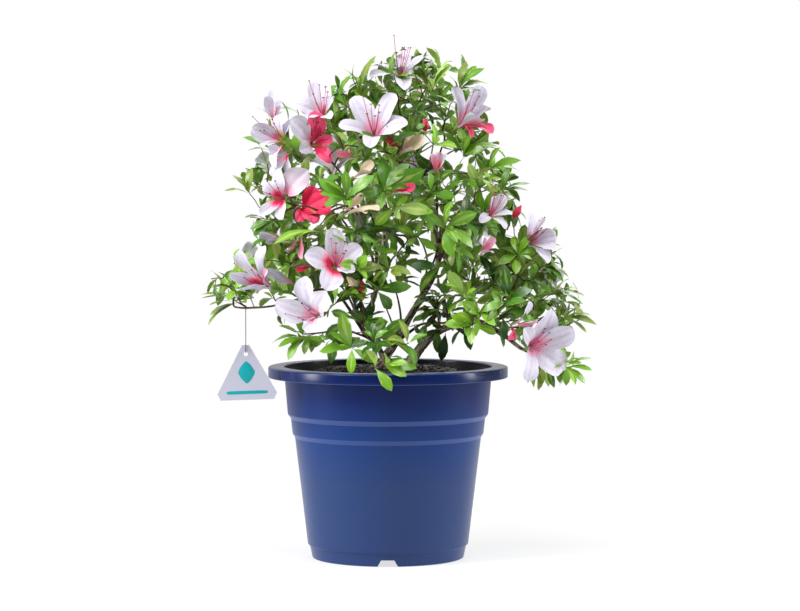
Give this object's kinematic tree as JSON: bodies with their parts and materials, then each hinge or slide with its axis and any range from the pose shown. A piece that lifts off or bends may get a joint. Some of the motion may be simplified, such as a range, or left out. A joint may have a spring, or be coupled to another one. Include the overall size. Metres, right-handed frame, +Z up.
{
  "type": "potted azalea bonsai",
  "caption": "Flowering azalea bonsai with thin leaning stems and open leaf masses, in a round blue plastic pot, with a small triangular tag hung on a wire.",
  "frame": {"origin": "middle of the flat underside of the pot, on the ground", "axes": "+Z up, the plant's front faces -Y, +X to the right seen from the front"},
  "size_m": [0.3521, 0.2539, 0.4657],
  "materials": {
    "pot_plastic": "satin",
    "soil": "matte",
    "bark": "matte",
    "young_bark": "matte",
    "leaves": "satin",
    "petals": "satin",
    "tag_wire": "satin",
    "tag_plastic": "satin"
  },
  "bodies": {
    "plant": {"bough_back_centre": "young_bark", "bough_back_left": "young_bark", "bough_back_low_left": "young_bark", "bough_back_low_right": "young_bark", "bough_back_right": "young_bark", "bough_back_top": "young_bark", "bough_centre_right": "young_bark", "bough_inner_right": "young_bark", "bough_left": "young_bark", "bough_left_tip": "young_bark", "bough_low_front": "young_bark", "bough_low_left": "young_bark", "bough_low_right": "young_bark", "bough_mid_front": "young_bark", "bough_mid_left": "young_bark", "bough_over_rim": "young_bark", "bough_right": "young_bark", "bough_right_shoulder": "young_bark", "bough_right_tip": "young_bark", "bough_upper_centre": "young_bark", "bough_upper_left": "young_bark", "bough_upper_right": "young_bark", "leaves_back_centre": "leaves", "leaves_back_left": "leaves", "leaves_back_low_left": "leaves", "leaves_back_low_right": "leaves", "leaves_back_right": "leaves", "leaves_back_top": "leaves", "leaves_centre_right": "leaves", "leaves_crown_top": "leaves", "leaves_crown_top_left": "leaves", "leaves_inner_right": "leaves", "leaves_left": "leaves", "leaves_left_tip": "leaves", "leaves_low_front": "leaves", "leaves_low_left_tip": "leaves", "leaves_low_right": "leaves", "leaves_low_right_tip": "leaves", "leaves_mid_front": "leaves", "leaves_mid_left": "leaves", "leaves_over_rim": "leaves", "leaves_right": "leaves", "leaves_right_shoulder": "leaves", "leaves_right_tip": "leaves", "leaves_upper_centre": "leaves", "leaves_upper_left": "leaves", "leaves_upper_right": "leaves", "pot": "pot_plastic", "soil": "soil", "trunk_left": "bark", "trunk_left_upper": "bark", "trunk_middle": "bark", "trunk_middle_upper": "bark", "trunk_right": "bark", "trunk_right_upper": "bark"},
    "tag": {"tag_wire": "tag_wire", "tag_plate": "tag_plastic"}
  },
  "joints": [
    {"name": "tag_swing", "type": "hinge", "parent": "plant", "child": "tag", "pos_m": [-0.1272, -0.06, 0.2323], "axis": [1, 0, 0], "range_deg": [-45, 15]}
  ]
}
